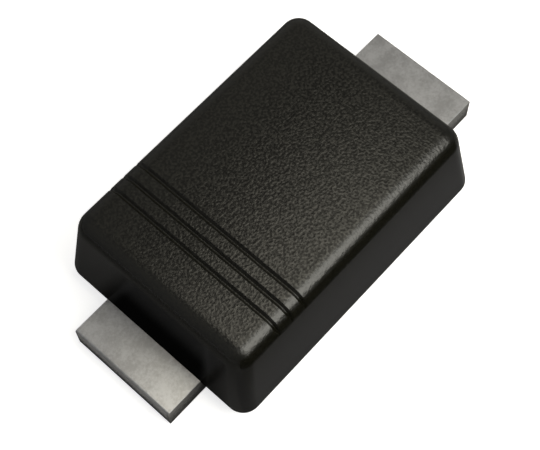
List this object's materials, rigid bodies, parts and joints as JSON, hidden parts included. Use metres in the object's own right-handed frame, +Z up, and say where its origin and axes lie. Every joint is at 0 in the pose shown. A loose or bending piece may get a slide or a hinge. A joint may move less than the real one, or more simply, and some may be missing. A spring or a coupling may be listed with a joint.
{
  "type": "schottky diode",
  "caption": "Flat-lead surface-mount Schottky diode: dark drafted moulded body, grooves across the top at the cathode end, a flat tinned lead at each end.",
  "frame": {"origin": "under the middle of the overall length and width, on the plane of the leads' undersides", "axes": "+X along the length towards the anode lead, +Y across the width, +Z up through the top face"},
  "size_m": [0.0038, 0.002, 0.001],
  "materials": {
    "epoxy": "fine eroded grain on the top, satin walls",
    "tinned_lead": "matte tin plate",
    "silicon": "polished silicon with metallised faces",
    "solder": "dull solder"
  },
  "bodies": {
    "root": {"moulded_body": "epoxy", "cathode_lead": "tinned_lead", "anode_lead": "tinned_lead", "schottky_die": "silicon", "die_attach_solder": "solder", "clip_solder": "solder"}
  },
  "joints": []
}
